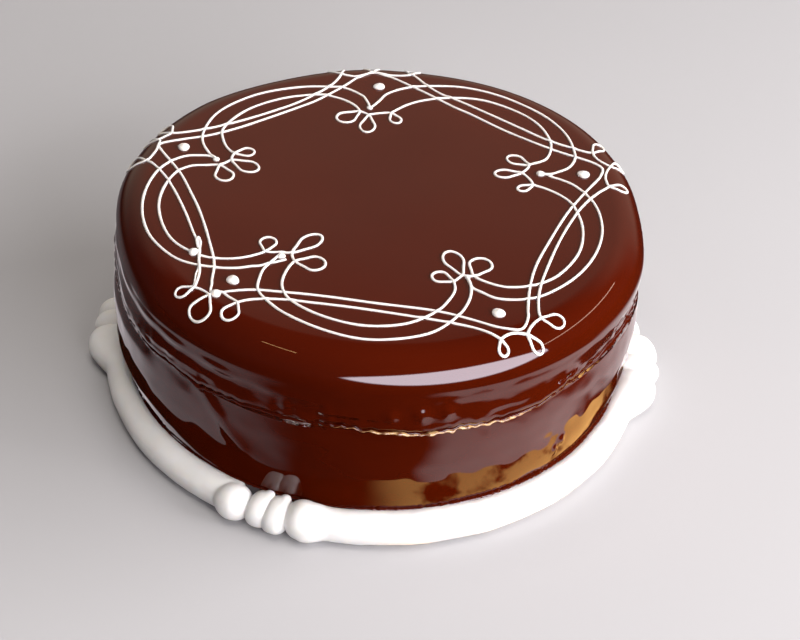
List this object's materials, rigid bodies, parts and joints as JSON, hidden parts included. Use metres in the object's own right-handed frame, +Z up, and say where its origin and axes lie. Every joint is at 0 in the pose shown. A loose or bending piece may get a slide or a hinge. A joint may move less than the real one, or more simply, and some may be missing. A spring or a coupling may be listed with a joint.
{
  "type": "chocolate truffle cake",
  "caption": "Round whole chocolate truffle cake with a glossy poured glaze, a piped icing lattice of interlaced lines and small loops on top, and a thick smooth icing border round its foot.",
  "frame": {"origin": "centre of the flat underside, on the surface the cake stands on", "axes": "+Z up through the top; -Y towards the side with the two narrow border beads, +X to the right when looking from that side"},
  "size_m": [0.2407, 0.2309, 0.0876],
  "materials": {
    "chocolate_glaze": "mirror-gloss dark brown chocolate glaze with faint waves and a few pits",
    "white_icing": "smooth satin white buttercream with soft creases where strands meet"
  },
  "bodies": {
    "root": {"cake": "chocolate_glaze", "rope_front_right": "white_icing", "rope_back_right": "white_icing", "rope_back_left": "white_icing", "rope_front_left": "white_icing", "bead_front_a": "white_icing", "bead_front_b": "white_icing", "bead_right_a": "white_icing", "bead_right_b": "white_icing", "bead_back_a": "white_icing", "bead_back_b": "white_icing", "bead_left_a": "white_icing", "bead_left_b": "white_icing"}
  },
  "joints": []
}
